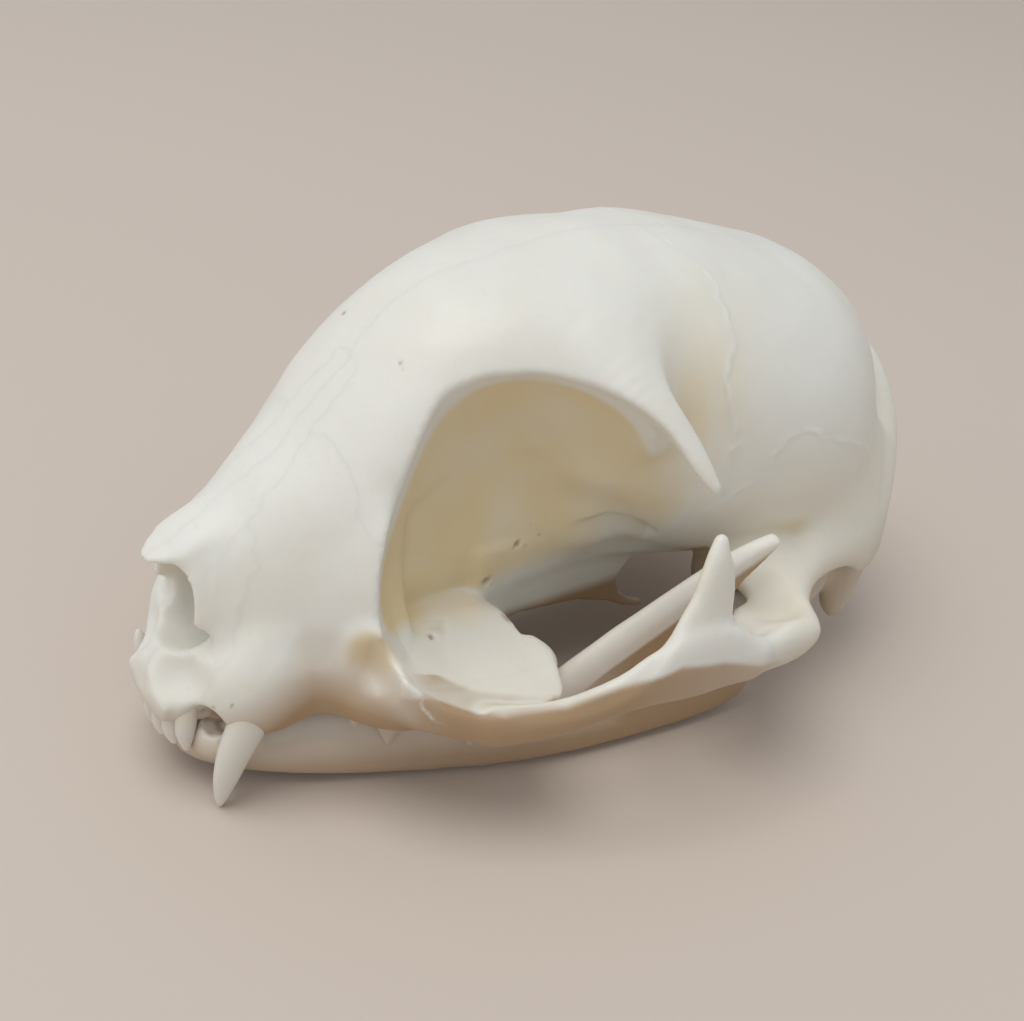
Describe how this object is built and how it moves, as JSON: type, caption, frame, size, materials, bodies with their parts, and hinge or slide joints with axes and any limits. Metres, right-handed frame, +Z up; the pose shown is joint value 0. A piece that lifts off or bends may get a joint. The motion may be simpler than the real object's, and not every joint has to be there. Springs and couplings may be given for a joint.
{
  "type": "cat skull",
  "caption": "Life-size domestic cat skull with its lower jaw, jaws closed, lying on the jaw; large eye sockets, cheek arches, canines; split along its sutures.",
  "frame": {"origin": "middle of the skull's footprint, on the surface that the jaw lies on", "axes": "+Y towards the back of the head (the face looks along -Y), +X towards the skull's own left, +Z up"},
  "size_m": [0.0642, 0.0902, 0.0522],
  "materials": {
    "skull_bone": "bleached dry bone, satin",
    "jaw_bone": "bleached dry bone, satin, slightly pinker"
  },
  "bodies": {
    "root": {"occipital": "skull_bone", "skull_base": "skull_bone", "zygomatic_left": "skull_bone", "zygomatic_right": "skull_bone", "temporal_left": "skull_bone", "temporal_right": "skull_bone", "parietal_left": "skull_bone", "parietal_right": "skull_bone", "nasal_left": "skull_bone", "nasal_right": "skull_bone", "frontal_left": "skull_bone", "frontal_right": "skull_bone", "premaxilla_left": "skull_bone", "premaxilla_right": "skull_bone", "maxilla_left": "skull_bone", "maxilla_right": "skull_bone", "mandible_left": "jaw_bone", "mandible_right": "jaw_bone"}
  },
  "joints": []
}
